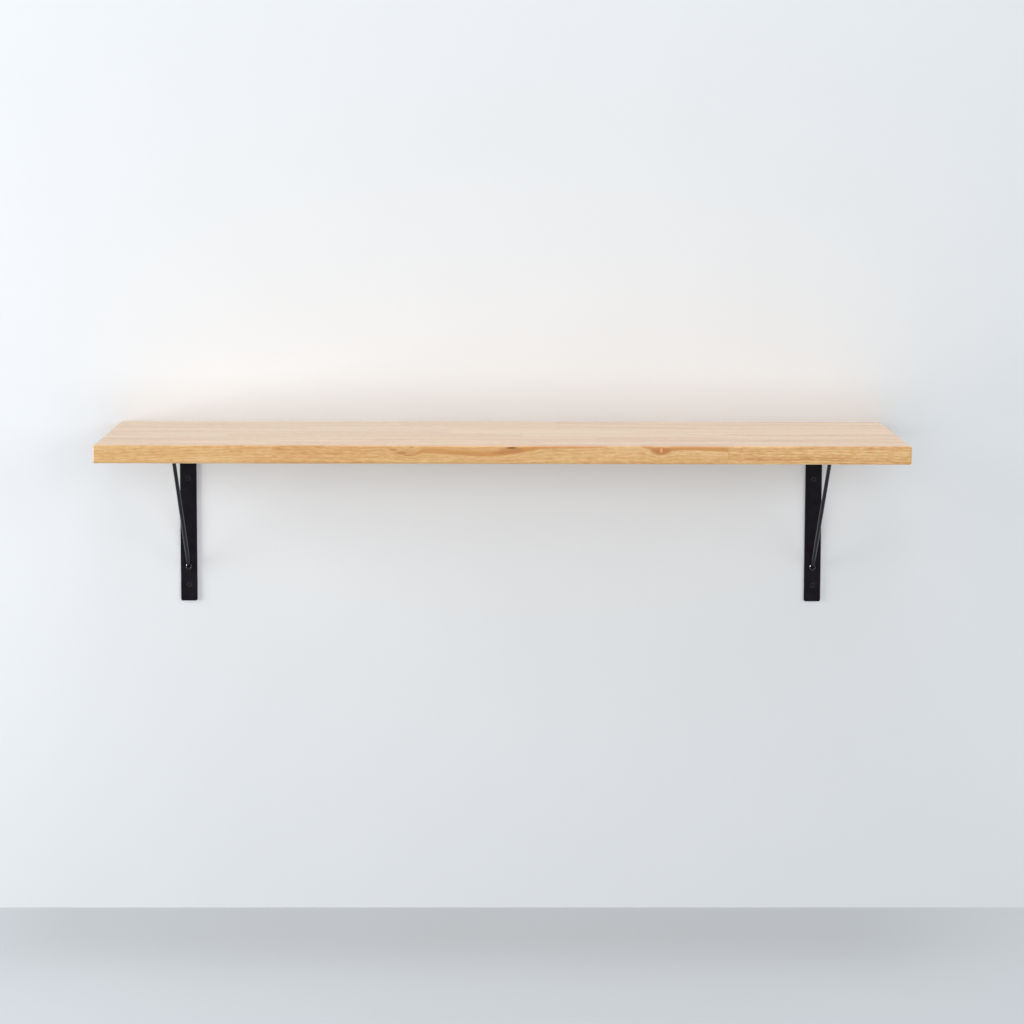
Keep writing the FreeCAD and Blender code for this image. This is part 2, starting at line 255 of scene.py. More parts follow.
    def finish(self, **inputs: "Socket | float | Colour") -> bpy.types.Material:
        """Closes the tree with a surface shader.

        Args:
            **inputs: The shader's inputs, with _ for each space in their names.

        Returns:
            The finished material.
        """
        named = {}
        for key, value in inputs.items():
            named[key.replace("_", " ")] = (*value, 1.0) if isinstance(value, tuple) else value
        shader = self.node("ShaderNodeBsdfPrincipled", named)
        self.node("ShaderNodeOutputMaterial", {"Surface": shader.outputs[0]})
        return self.material


@dataclass(frozen=True)
class BlockCut:
    """How one block was cut from its log, and how dark its wood is.

    Attributes:
        depth: How deep its colour is, with 0 the usual.
        warmth: How orange it is, with 0 the usual.
        heart_back: How far behind the block's middle the log's heart lies, in metres.
        heart_down: How far under it, in metres.
        turn: How far the grain runs out sideways, in degrees.
        figure: How lively its grain is, with 1 the usual.
    """

    depth: float
    warmth: float
    heart_back: float
    heart_down: float
    turn: float
    figure: float = 1.0


@dataclass(frozen=True)
class Knot:
    """A small knot or fleck on the board's front edge, in metres.

    Attributes:
        along: Its place along the board.
        height: Its place above the board's middle.
        half_length: Half its length.
        half_height: Half its height.
        colour: Its colour.
        share: How strongly it shows.
    """

    along: float
    height: float
    half_length: float
    half_height: float
    colour: Colour
    share: float


@dataclass(frozen=True)
class HeartStreak:
    """The band of brown heartwood along the front block's upper edge, in metres.

    Attributes:
        veil: The colour of its pale outer wash.
        core: The colour of its darker middle.
        start: Where its line starts along the board.
        end: Where its line ends.
        low: The least height that the line can have.
        high: The greatest.
        front: Where the board's front edge lies.
        fade_depth: How far behind that edge it fades out.
        fray: How far the grain's dashes fray its lower edge.
        thin_until: How far along the board it is still thin.
        full_from: From where it has its full width.
        thinness: Its width where it is thin, as a share of the full one.
        veil_edge: How wide the wash's lower edge is.
        veil_share: How much of the wash shows.
        veil_fade: Between which heights over the line the wash fades.
        veil_left: How much of it is left over them.
        core_edge: Between which heights over the line the middle starts.
        core_fade: Between which it fades out.
        bend_top: The greatest height of the line that bends the grain.
        bend_level: The height of the line that leaves the grain straight.
        bend_low: The height from which the grain starts to follow the line.
        bend_high: The height at which it follows the line fully.
        bend_least: How far it follows the line under both.
        line: Its lower edge: how far along the board, and how high over its middle.
        knots: The knots and flecks on it.
    """

    veil: Colour = (0.71, 0.355, 0.12)
    core: Colour = (0.63, 0.265, 0.068)
    start: float = -0.34
    end: float = 0.34
    low: float = -0.004
    high: float = 0.020
    front: float = -0.300
    fade_depth: float = 0.025
    fray: float = 0.0022
    thin_until: float = -0.136
    full_from: float = -0.112
    thinness: float = 0.32
    veil_edge: float = 0.0010
    veil_share: float = 0.85
    veil_fade: tuple[float, float] = (0.006, 0.012)
    veil_left: float = 0.45
    core_edge: tuple[float, float] = (0.0004, 0.0024)
    core_fade: tuple[float, float] = (0.0045, 0.0095)
    bend_top: float = 0.011
    bend_level: float = 0.008
    bend_low: float = -0.012
    bend_high: float = 0.002
    bend_least: float = 0.12
    line: tuple[tuple[float, float], ...] = (
        (-0.340, 0.0200), (-0.195, 0.0200), (-0.172, 0.0117), (-0.158, 0.0037),
        (-0.146, -0.0006), (-0.134, -0.0024), (-0.125, -0.0002), (-0.114, 0.0018),
        (-0.098, 0.0015), (-0.076, -0.0004), (-0.056, -0.0017), (-0.028, -0.0026),
        (-0.008, -0.0024), (0.004, -0.0011), (0.016, 0.0017), (0.027, 0.0035),
        (0.041, 0.0054), (0.055, 0.0076), (0.080, 0.0091), (0.115, 0.0098),
        (0.150, 0.0107), (0.160, 0.0160), (0.190, 0.0160), (0.203, 0.0104),
        (0.213, 0.0080), (0.223, 0.0036), (0.2317, 0.0001), (0.240, 0.0034),
        (0.250, 0.0058), (0.266, 0.0068), (0.298, 0.0061), (0.340, 0.0038),
    )
    knots: tuple[Knot, ...] = (
        Knot(0.0120, 0.0070, 0.0220, 0.0060, (0.50, 0.19, 0.050), 0.55),
        Knot(0.0125, 0.0107, 0.0085, 0.0014, (0.20, 0.07, 0.020), 0.95),
        Knot(-0.0060, 0.0036, 0.0110, 0.0022, (0.44, 0.15, 0.040), 0.50),
        Knot(-0.1400, 0.0036, 0.0190, 0.0045, (0.62, 0.29, 0.095), 0.45),
        Knot(-0.1600, 0.0076, 0.0070, 0.0018, (0.52, 0.22, 0.065), 0.70),
        Knot(-0.1490, 0.0028, 0.0095, 0.0022, (0.50, 0.21, 0.060), 0.65),
        Knot(-0.1380, -0.0012, 0.0080, 0.0014, (0.52, 0.23, 0.070), 0.65),
        Knot(-0.1337, 0.0112, 0.0032, 0.0016, (0.46, 0.23, 0.08), 0.70),
        Knot(0.2317, 0.0060, 0.0170, 0.0070, (0.52, 0.19, 0.055), 0.70),
        Knot(0.2320, 0.0074, 0.0022, 0.0045, (0.88, 0.42, 0.13), 1.00),
    )


@dataclass(frozen=True)
class BoardWood:
    """Pale, fine-grained hardwood under a satin lacquer.

    The grain runs along the board, so each pattern is long that way and narrow
    across it. Each scale says how many units of its pattern lie on a metre,
    along the grain and twice across it.

    Attributes:
        pale: The palest wood's colour.
        usual: The usual wood's colour.
        tan: The darkest wood's colour.
        honey: What the yellow places are tinted by.
        rose: What the pink places are tinted by.
        pore_shade: What the pores are darkened by.
        warm_red: How much a warm block's red rises.
        warm_blue: How much its blue falls.
        lacquer: How much lacquer lies on it.
        lacquer_roughness: The lacquer's roughness.
        ring_width: The growth rings' width, in metres.
        ring_sharpness: How sharply each ring ends.
        wander: How far the grain wanders, in metres.
        wander_scale: The wandering's scale.
        waver: How far it wavers, in metres.
        waver_scale: The wavering's scale.
        stripe_scale: The broad stripes' scale.
        dash_scale: The short dashes' scale.
        fibre_scale: The finest fibres' scale.
        pore_scale: The pores' scale.
        tint_scale: The yellow and pink places' scale.
    """

    pale: Colour = (0.86, 0.585, 0.29)
    usual: Colour = (0.765, 0.441, 0.181)
    tan: Colour = (0.63, 0.305, 0.10)
    honey: Colour = (0.97, 1.04, 0.86)
    rose: Colour = (1.03, 0.93, 0.96)
    pore_shade: Colour = (0.72, 0.62, 0.53)
    warm_red: float = 0.05
    warm_blue: float = 0.16
    lacquer: float = 0.80
    lacquer_roughness: float = 0.22
    ring_width: float = 0.0042
    ring_sharpness: float = 2.4
    wander: float = 0.012
    wander_scale: Point = (2.4, 11.0, 11.0)
    waver: float = 0.0034
    waver_scale: Point = (17.0, 60.0, 60.0)
    stripe_scale: Point = (2.6, 62.0, 62.0)
    dash_scale: Point = (75.0, 440.0, 440.0)
    fibre_scale: Point = (34.0, 1300.0, 1300.0)
    pore_scale: Point = (120.0, 1900.0, 1900.0)
    tint_scale: Point = (30.0, 230.0, 230.0)

    def material(self, name: str, cut: BlockCut, middle: Vector,
                 streak: HeartStreak | None) -> bpy.types.Material:
        """Makes one block's wood.

        Args:
            name: The material's name.
            cut: How the block was cut.
            middle: The block's middle.
            streak: The heartwood band on it, if it has one.

        Returns:
            The wood.
        """
        sheet = NodeSheet(name)
        heart = middle + Vector((0.0, cut.heart_back, -cut.heart_down))
        turn = Euler((0.0, math.radians(cut.turn * 0.5), math.radians(cut.turn)))
        place = sheet.node("ShaderNodeMapping", {
            "Vector": sheet.place, "Rotation": turn, "Location": -(turn.to_matrix() @ heart),
        }).outputs[0]
        if streak:
            place = self._bent(sheet, place, streak)
        flow = self._drifted(sheet, place, self.wander_scale, self.wander)
        flow = self._drifted(sheet, flow, self.waver_scale, self.waver)
        rings = self._rings(sheet, flow)
        stripe = sheet.noise(sheet.stretched(flow, self.stripe_scale), 2.0, 0.55)
        dash = sheet.noise(sheet.stretched(flow, self.dash_scale), 2.0, 0.6)
        fibre = sheet.noise(sheet.stretched(flow, self.fibre_scale), 3.0, 0.6)
        pores = sheet.noise(sheet.stretched(flow, self.pore_scale), 1.0, 0.5)
        depth = 0.5 + cut.depth
        # Each pattern with its usual height and how much it darkens the wood.
        layers = ((rings, 0.3, 0.13), (stripe, 0.5, 0.62), (dash, 0.5, 0.62), (fibre, 0.5, 0.30))
        for pattern, usual, weight in layers:
            weight *= cut.figure
            depth = sheet.math("MULTIPLY_ADD", pattern, weight, depth)
            depth = sheet.math("SUBTRACT", depth, usual * weight)
        colour = sheet.ramp(depth, ((0.29, self.pale), (0.50, self.usual), (0.74, self.tan)))
        tint = sheet.noise(sheet.stretched(flow, self.tint_scale), 2.0, 0.6)
        for low, high, shade in ((0.54, 0.72, self.honey), (0.46, 0.28, self.rose)):
            colour = sheet.blend(sheet.remap(tint, low, high, 0.0, 0.5), colour, shade, "MULTIPLY")
        late = sheet.remap(rings, 0.1, 0.9, 0.45, 0.9)
        pore = sheet.math("MULTIPLY", sheet.remap(pores, 0.58, 0.70), late)
        colour = sheet.blend(pore, colour, self.pore_shade, "MULTIPLY")
        warm = (1.0 + self.warm_red * cut.warmth, 1.0, 1.0 - self.warm_blue * cut.warmth)
        colour = sheet.blend(1.0, colour, warm, "MULTIPLY")
        if streak:
            colour = self._streaked(sheet, colour, dash, fibre, streak)
        grain = sheet.math("MULTIPLY_ADD", fibre, 0.6, sheet.math("MULTIPLY", dash, 0.4))
        grain = sheet.math("SUBTRACT", grain, sheet.math("MULTIPLY", pore, 0.7))
        return sheet.finish(
            Base_Color=colour,
            Roughness=sheet.remap(grain, 0.1, 0.8, 0.50, 0.38),
            Normal=sheet.bump(grain, 0.00012, 0.6),
            Specular_IOR_Level=0.5,
            Coat_Weight=self.lacquer,
            Coat_Roughness=self.lacquer_roughness,
        )

    def _drifted(self, sheet: NodeSheet, place: Socket, scale: Point, reach: float) -> Socket:
        """Lets the grain wander sideways.

        Args:
            sheet: The material's nodes.
            place: The coordinate to move.
            scale: How quickly the drift changes along each axis, per metre.
            reach: How far it goes, in metres.

        Returns:
            The moved coordinate.
        """
        drift = sheet.noise(sheet.stretched(place, scale), 1.0, 0.5, "Color")
        drift = sheet.stretched(sheet.shifted(drift, (-0.5, -0.5, -0.5)), (0.0, reach, reach))
        return sheet.shifted(place, drift)

    def _rings(self, sheet: NodeSheet, flow: Socket) -> Socket:
        """Draws the growth rings round the log's heart."""
        inputs = {
            "Vector": sheet.stretched(flow, (0.05, 1.0, 1.0)),
            "Scale": WAVE_PITCH / self.ring_width,
            "Distortion": 3.4, "Detail": 2.0, "Detail Scale": 0.8, "Detail Roughness": 0.6,
        }
        kind = {"wave_type": "RINGS", "rings_direction": "X", "wave_profile": "SAW"}
        wave = sheet.node("ShaderNodeTexWave", inputs, **kind)
        return sheet.math("POWER", wave.outputs["Fac"], self.ring_sharpness)

    def _edge_height(self, sheet: NodeSheet, along: Socket, streak: HeartStreak) -> Socket:
        """Gives the height of the heartwood's lower edge along the board."""
        span, rise = streak.end - streak.start, streak.high - streak.low
        points = tuple(((x - streak.start) / span, (z - streak.low) / rise) for x, z in streak.line)
        share = sheet.remap(along, streak.start, streak.end)
        return sheet.math("MULTIPLY_ADD", sheet.curve(share, points), rise, streak.low)

    def _bent(self, sheet: NodeSheet, place: Socket, streak: HeartStreak) -> Socket:
        """Bends the grain so that it follows the heartwood's edge."""
        along, _, height = sheet.axes(sheet.place)
        edge = sheet.math("MINIMUM", self._edge_height(sheet, along, streak), streak.bend_top)
        near = sheet.remap(height, streak.bend_low, streak.bend_high, streak.bend_least, 1.0)
        lift = sheet.math("MULTIPLY", sheet.math("SUBTRACT", streak.bend_level, edge), near)
        lift = sheet.node("ShaderNodeCombineXYZ", {2: lift}).outputs[0]
        return sheet.shifted(place, lift)

    def _streaked(self, sheet: NodeSheet, colour: Socket, dash: Socket, fibre: Socket,
                  streak: HeartStreak) -> Socket:
        """Lays the heartwood and its knots over the block's colour.

        Args:
            sheet: The material's nodes.
            colour: The block's own colour.
            dash: The short dashes of the grain, which fray the band's edge.
            fibre: The finest grain, which breaks up the band.
            streak: The band and its knots.

        Returns:
            The colour with the heartwood on it.
        """
        along, back, height = sheet.axes(sheet.place)
        edge = self._edge_height(sheet, along, streak)
        above = sheet.math("SUBTRACT", height, edge)
        above = sheet.math("MULTIPLY_ADD", sheet.math("SUBTRACT", dash, 0.5), streak.fray, above)
        depth = sheet.remap(back, streak.front, streak.front + streak.fade_depth, 1.0, 0.0, True)
        reach = sheet.remap(along, streak.thin_until, streak.full_from, streak.thinness, 1.0, True)
        within = sheet.math("DIVIDE", above, reach)
        veil = sheet.remap(above, 0.0, streak.veil_edge, 0.0, streak.veil_share, True)
        veil = sheet.math("MULTIPLY", veil, depth)
        fade = sheet.remap(within, *streak.veil_fade, 1.0, streak.veil_left, True)
        veil = sheet.math("MULTIPLY", veil, fade)
        veil = sheet.math("MULTIPLY", veil, reach)
        core = sheet.remap(above, *streak.core_edge, 0.0, 1.0, True)
        fade = sheet.remap(within, *streak.core_fade, 1.0, 0.0, True)
        core = sheet.math("MULTIPLY", core, fade)
        core = sheet.math("MULTIPLY", core, sheet.remap(fibre, 0.34, 0.62, 0.30, 1.0))
        core = sheet.math("MULTIPLY", core, depth)
        colour = sheet.blend(veil, colour, streak.veil)
        colour = sheet.blend(core, colour, streak.core)
        for knot in streak.knots:
            across = sheet.math("SUBTRACT", along, knot.along)
            across = sheet.math("DIVIDE", across, knot.half_length)
            up = sheet.math("SUBTRACT", height, knot.height)
            up = sheet.math("DIVIDE", up, knot.half_height)
            out = sheet.math("MULTIPLY_ADD", up, up, sheet.math("MULTIPLY", across, across))
            out = sheet.math("MULTIPLY_ADD", sheet.math("SUBTRACT", fibre, 0.5), 1.6, out)
            share = sheet.remap(out, 0.25, 1.1, knot.share, 0.0, True)
            share = sheet.math("MULTIPLY", share, depth)
            colour = sheet.blend(share, colour, knot.colour)
        return colour


@dataclass(frozen=True)
class BlackCoat:
    """Thin black powder coat on bar and rod.

    Attributes:
        smooth: Its roughness where it lies thick.
        dull: Its roughness where it lies thin.
        gloss: How strongly it mirrors.
        peel: How high its orange peel stands, in metres.
        colour: Its colour where it lies thick.
        thin: Its colour where it lies thin.
        clouds: How many thick and thin places lie on a metre.
        dimples: How many dimples of its orange peel lie on a metre.
        specks: How many specks of dust lie on a metre.
    """

    smooth: float
    dull: float
    gloss: float
    peel: float
    colour: Colour = (0.0072, 0.0057, 0.0098)
    thin: Colour = (0.0132, 0.0112, 0.0168)
    clouds: float = 60.0
    dimples: float = 900.0
    specks: float = 2600.0

    def material(self, name: str) -> bpy.types.Material:
        """Makes the coat."""
        sheet = NodeSheet(name)
        cloud = sheet.speckle(self.clouds)
        peel = sheet.speckle(self.dimples, 2.0, 0.5)
        dust = sheet.speckle(self.specks, 1.0, 0.5)
        height = sheet.math("MULTIPLY_ADD", dust, 0.3, peel)
        return sheet.finish(
            Base_Color=sheet.blend(sheet.remap(cloud, 0.35, 0.75), self.colour, self.thin),
            Roughness=sheet.remap(cloud, 0.3, 0.7, self.smooth, self.dull),
            Normal=sheet.bump(height, self.peel, 0.4),
            Specular_IOR_Level=self.gloss,
        )


@dataclass(frozen=True)
class WeldSkin:
    """Black coat over a rippled weld, rubbed through to bare steel at one spot.

    Attributes:
        colour: The coat's colour.
        scale: Its colour over weld scale.
        steel: The bare steel's colour.
        spot_reach: How far the bare spot reaches, in metres.
        grains: How many grains of grit lie on a metre.
    """

    colour: Colour = (0.009, 0.0085, 0.0105)
    scale: Colour = (0.028, 0.027, 0.030)
    steel: Colour = (0.62, 0.61, 0.60)
    spot_reach: float = 0.0022
    grains: float = 1500.0

    def material(self, name: str, spot: Vector, bareness: float) -> bpy.types.Material:
        """Makes the weld's skin.

        Args:
            name: The material's name.
            spot: Where the coat is rubbed through.
            bareness: How much of the steel shows there, from 0 to 1.

        Returns:
            The finish.
        """
        sheet = NodeSheet(name)
        grit = sheet.speckle(self.grains)
        inputs = {0: sheet.place, 1: spot}
        away = sheet.node("ShaderNodeVectorMath", inputs, operation="DISTANCE").outputs["Value"]
        away = sheet.math("MULTIPLY_ADD", sheet.math("SUBTRACT", grit, 0.5), self.spot_reach, away)
        bare = sheet.remap(away, self.spot_reach * 0.6, self.spot_reach, bareness, 0.0, True)
        coat = sheet.blend(sheet.remap(grit, 0.45, 0.8), self.colour, self.scale)
        return sheet.finish(
            Base_Color=sheet.blend(bare, coat, self.steel),
            Metallic=bare,
            Roughness=sheet.remap(grit, 0.3, 0.7, 0.12, 0.24),
            Normal=sheet.bump(grit, 0.00005, 0.5),
            Coat_Weight=1.0,
            Coat_Roughness=0.05,
        )


@dataclass(frozen=True)
class BlackOxide:
    """Black oxide on a screw, with painted shade that darkens its driver recess.

    Attributes:
        colour: The oxide's colour.
        rubbed: Its colour where it is worn.
        recess_shade: The colour of the painted shade in the driver recess.
        recess_shade_start: How deep under the head's face the painted shade in the recess starts,
            in metres.
        metal: How much of the steel shows through.
        blotches: How many worn blotches lie on a metre.
        marks: How many tool marks lie on a metre.
    """

    colour: Colour = (0.018, 0.0172, 0.0205)
    rubbed: Colour = (0.060, 0.058, 0.063)
    recess_shade: Colour = (0.001, 0.001, 0.001)
    recess_shade_start: float = 0.0002
    metal: float = 0.35
    blotches: float = 420.0
    marks: float = 900.0

    def material(self, name: str, axis: int, face: float) -> bpy.types.Material:
        """Makes the screw's finish, with painted shade in its recess.

        Args:
            name: The material's name.
            axis: The axis that the screw runs along, from 0 to 2.
            face: Where the head's flat face lies on that axis, in metres.

        Returns:
            The finish.
        """
        sheet = NodeSheet(name)
        depth = sheet.math("SUBTRACT", sheet.axes(sheet.place)[axis], face)
        # Painted shade: below the head's face the recess fades to near black with depth.
        recess_shade_share = sheet.remap(depth, self.recess_shade_start, self.recess_shade_start * 3.0)
        blotch = sheet.speckle(self.blotches)
        turned = sheet.speckle(self.marks)
        colour = sheet.blend(sheet.remap(blotch, 0.4, 0.75), self.colour, self.rubbed)
        return sheet.finish(
            Base_Color=sheet.blend(recess_shade_share, colour, self.recess_shade),
            Metallic=self.metal,
            Roughness=sheet.remap(blotch, 0.3, 0.7, 0.22, 0.36),
            Normal=sheet.bump(turned, 0.00004, 0.5),
        )


class Side(Enum):
    """Which end of the board a bracket holds."""

    LEFT = "left"
    RIGHT = "right"


class Seat(Enum):
    """Which end of the brace a weld holds."""

    FOOT = "foot"
    HEAD = "head"


def piece_from(name: str, mesh: bmesh.types.BMesh,
               material: bpy.types.Material) -> bpy.types.Object:
    """Makes a smooth, dressed object of a finished mesh.

    Args:
        name: The object's name.
        mesh: The mesh, which is freed.
        material: Its finish.

    Returns:
        The new object, at the origin.
    """
    for face in mesh.faces:
        face.smooth = True
    data = bpy.data.meshes.new(name)
    mesh.to_mesh(data)
    mesh.free()
    data.materials.append(material)
    made = bpy.data.objects.new(name, data)
    bpy.context.scene.collection.objects.link(made)
    return made


def dress(node: str, material: bpy.types.Material) -> None:
    """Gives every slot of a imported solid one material.

    Args:
        node: The solid's name.
        material: Its finish.
    """
    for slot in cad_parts[node].material_slots:
        slot.material = material
    log.info("dressed %s", node)


@dataclass
class Board:
    """The board: six rows of finger-jointed blocks, front row first.

    Attributes:
        rows: How each block of each row was cut.
        streak_row: The row of the block with the heartwood, from 1.
        streak_block: That block's place in its row, from 1.
    """

    rows: tuple[tuple[BlockCut, ...], ...] = (
        (
            BlockCut(-0.03, 0.1, 0.02, 0.11, 0.9, 1.0),
            BlockCut(-0.02, 0.15, 0.03, 0.09, 0.4, 1.1),
            BlockCut(-0.005, 0.3, -0.03, 0.10, -1.3, 1.5),
        ),
        (
            BlockCut(-0.02, -0.1, 0.04, 0.05, 1.4),
            BlockCut(0.03, 0.3, -0.02, 0.06, -1.0),
            BlockCut(0.09, 0.5, 0.03, -0.07, 0.7, 1.3),
        ),
        (
            BlockCut(-0.06, -0.3, 0.01, 0.05, -1.2),
            BlockCut(0.0, 0.0, 0.05, 0.04, 0.8),
            BlockCut(-0.04, 0.2, -0.04, -0.06, 1.3),
            BlockCut(0.05, 0.4, 0.02, 0.07, -0.6, 1.2),
        ),
        (
            BlockCut(-0.03, -0.2, -0.03, 0.06, 0.7),
            BlockCut(-0.08, 0.1, 0.02, -0.05, -1.5),
            BlockCut(-0.05, 0.3, 0.04, 0.06, 0.9),
        ),
        (
            BlockCut(0.02, -0.1, 0.02, -0.06, 1.1),
            BlockCut(-0.03, 0.1, -0.05, 0.05, -0.7),
            BlockCut(0.05, 0.4, 0.01, 0.07, 1.6, 1.2),
            BlockCut(-0.01, 0.3, 0.03, 0.05, -1.1),
        ),
        (
            BlockCut(0.0, -0.2, -0.02, 0.05, -0.9),
            BlockCut(0.06, 0.2, 0.04, -0.06, 1.2),
            BlockCut(0.07, 0.4, 0.0, 0.06, 0.6, 1.2),
        ),
    )
    streak_row: int = 1
    streak_block: int = 2

    def build(self) -> None:
        """Dresses every block in its own wood."""
        wood = BoardWood()
        for row, cuts in enumerate(self.rows, 1):
            for block, cut in enumerate(cuts, 1):
                node = f"board_row{row}_block{block}"
                low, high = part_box(node)
                has_streak = (row, block) == (self.streak_row, self.streak_block)
                streak = HeartStreak() if has_streak else None
                name = f"wood_row{row}_block{block}"
                dress(node, wood.material(name, cut, (low + high) / 2, streak))


@dataclass
class Bracket:
    """One bracket: a bent strap, a welded brace, two welds and four screws.

    Attributes:
        side: Which end of the board it holds.
        ripples: How many ripples each weld has.
        steps: How many steps each weld's ring is spun in.
        bead_points: How many points go round the bead.
        bead_share: The bead's half-width as a share of the weld's.
        bead_inset: How far in the bead's middle runs, as a multiple of its half-width.
        bead_rise: How far it stands up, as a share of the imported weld's height.
        ripple_depth: How deep the ripples are, as a share of the bead.
        rubbed_foot: How bare the foot's weld is at its rubbed spot.
        spot_along: Where that spot lies on the weld's width, as a share of it.
        spot_up: Where it lies on the weld's height, as a share of it.
    """

    side: Side
    ripples: int = 13
    steps: int = 104
    bead_points: int = 14
    bead_share: float = 0.31
    bead_inset: float = 1.08
    bead_rise: float = 0.78
    ripple_depth: float = 0.15
    rubbed_foot: float = 0.9
    spot_along: float = 0.14
    spot_up: float = 0.70

    def build(self, bar: bpy.types.Material, rod: bpy.types.Material) -> None:
        """Dresses the bracket's solids and lays its welds.

        Args:
            bar: The strap's finish.
            rod: The brace's finish.
        """
        side = self.side.value
        dress(f"{side}_strap", bar)
        dress(f"{side}_brace", rod)
        for part, axis in (("wall_screws", 1), ("board_screws", 2)):
            node = f"{side}_{part}"
            # Each screw gets black oxide with painted shade in its driver recess.
            dress(node, BlackOxide().material(f"oxide_and_recess_shade_{node}", axis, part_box(node)[0][axis]))
        for seat in Seat:
            self._weld(seat)

    def _weld(self, seat: Seat) -> None:
        """Lays one weld round the end of the brace, in place of its packed mound."""
        node = f"{self.side.value}_{seat.value}_weld"
        low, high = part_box(node)
        span, middle = high - low, (low + high) / 2
        on_leg = seat is Seat.FOOT
        length, height = (span.z, span.y) if on_leg else (span.y, span.z)
        rise = height * self.bead_rise / self.bead_share
        mesh = self._ring()
        bmesh.ops.scale(mesh, vec=(span.x / 2, length / 2, rise), verts=mesh.verts)
        if on_leg:
            bmesh.ops.rotate(mesh, matrix=Matrix.Rotation(QUARTER_TURN, 3, "X"), verts=mesh.verts)
            middle.y = high.y
        else:
            middle.z = high.z
        bmesh.ops.translate(mesh, vec=middle, verts=mesh.verts)
        bmesh.ops.recalc_face_normals(mesh, faces=mesh.faces)
        spot = Vector((low.x + span.x * self.spot_along, low.y, low.z + span.z * self.spot_up))
        bareness = self.rubbed_foot if on_leg else 0.0
        skin = WeldSkin().material(f"skin_{node}", spot, bareness)
        bead = piece_from(f"{node}_bead", mesh, skin)
        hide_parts(node)
        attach(bead, BODY)
        log.info("laid %s", bead.name)

    def _ring(self) -> bmesh.types.BMesh:
        """Spins a rippled ring one unit in radius, flat on its face.

        Returns:
            The ring's mesh.
        """
        mesh = bmesh.new()
        radius = 1.0 - self.bead_share * self.bead_inset
        drawn = bmesh.ops.create_circle(mesh, segments=self.bead_points, radius=self.bead_share)
        upright = Matrix.Rotation(QUARTER_TURN, 3, "X")
        bmesh.ops.rotate(mesh, matrix=upright, verts=drawn["verts"])
        bmesh.ops.translate(mesh, vec=(radius, 0.0, 0.0), verts=drawn["verts"])
        bmesh.ops.spin(
            mesh, geom=mesh.verts[:] + mesh.edges[:], cent=(0.0, 0.0, 0.0), axis=(0.0, 0.0, 1.0),
            dvec=(0.0, 0.0, 0.0), angle=FULL_TURN, steps=self.steps,
            use_merge=True, use_duplicate=False,
        )
        bmesh.ops.remove_doubles(mesh, verts=mesh.verts, dist=SAME_PLACE)
        for vert in mesh.verts:
            around = math.atan2(vert.co.y, vert.co.x)
            core = Vector((math.cos(around), math.sin(around), 0.0)) * radius
            step = (around / FULL_TURN * self.ripples) % 1.0
            swell = 1.0 - self.ripple_depth * (1.0 - math.sqrt(1.0 - step * step))
            vert.co = core + (vert.co - core) * swell
        return mesh


@dataclass(frozen=True)
class Eye:
    """Where the camera stands and how it is turned.

    Attributes:
        place: Where it stands.
        turn: How far it looks to the right, in degrees.
        tilt: How far it looks down, in degrees.
        lean: How far it rolls, in degrees.
        lens: Its focal length, in millimetres.
        shift: How far the picture is shifted, as a share of its side.
        sensor: The sensor's width, in millimetres.
        near: Where its view starts, in metres.
        far: Where its view ends, in metres.
    """

    place: Point = (-0.0277, -3.9779, 0.4932)
    turn: float = 0.632
    tilt: float = 5.451
    lean: float = 0.193
    lens: float = 89.07
    shift: float = -0.15
    sensor: float = 36.0
    near: float = 0.05
    far: float = 50.0

    def build(self) -> None:
        """Sets up the camera."""
        data = bpy.data.cameras.new("camera")
        data.sensor_width, data.lens, data.shift_y = self.sensor, self.lens, self.shift
        data.clip_start, data.clip_end = self.near, self.far
        camera = bpy.data.objects.new("camera", data)
        bpy.context.scene.collection.objects.link(camera)
        facing = (
            Matrix.Rotation(-math.radians(self.turn), 4, "Z")
            @ Matrix.Rotation(math.radians(90.0 - self.tilt), 4, "X")
            @ Matrix.Rotation(math.radians(self.lean), 4, "Z")
        )
        camera.matrix_world = Matrix.Translation(self.place) @ facing
        bpy.context.scene.camera = camera
        log.info("placed the camera")


@dataclass(frozen=True)
class Lamp:
    """One broad, soft lamp.

    Attributes:
        place: Where it hangs.
        size: Its width and height, in metres.
        power: Its power, in watts.
        colour: Its colour.
        glints: Whether glossy surfaces mirror it.
    """

    place: Point
    size: tuple[float, float]
    power: float
    colour: Colour = (1.0, 1.0, 1.0)
    glints: bool = True

    def build(self, name: str, aim: Point) -> None:
        """Hangs the lamp.

        Args:
            name: The lamp's name.
            aim: The point that it faces.
        """
        data = bpy.data.lights.new(name, "AREA")
        data.shape, data.energy, data.color = "RECTANGLE", self.power, self.colour
        data.size, data.size_y = self.size
        lamp = bpy.data.objects.new(name, data)
        lamp.visible_camera, lamp.visible_glossy = False, self.glints
        bpy.context.scene.collection.objects.link(lamp)
        ray = Vector(aim) - Vector(self.place)
        facing = ray.to_track_quat("-Z", "Y").to_matrix().to_4x4()
        lamp.matrix_world = Matrix.Translation(self.place) @ facing


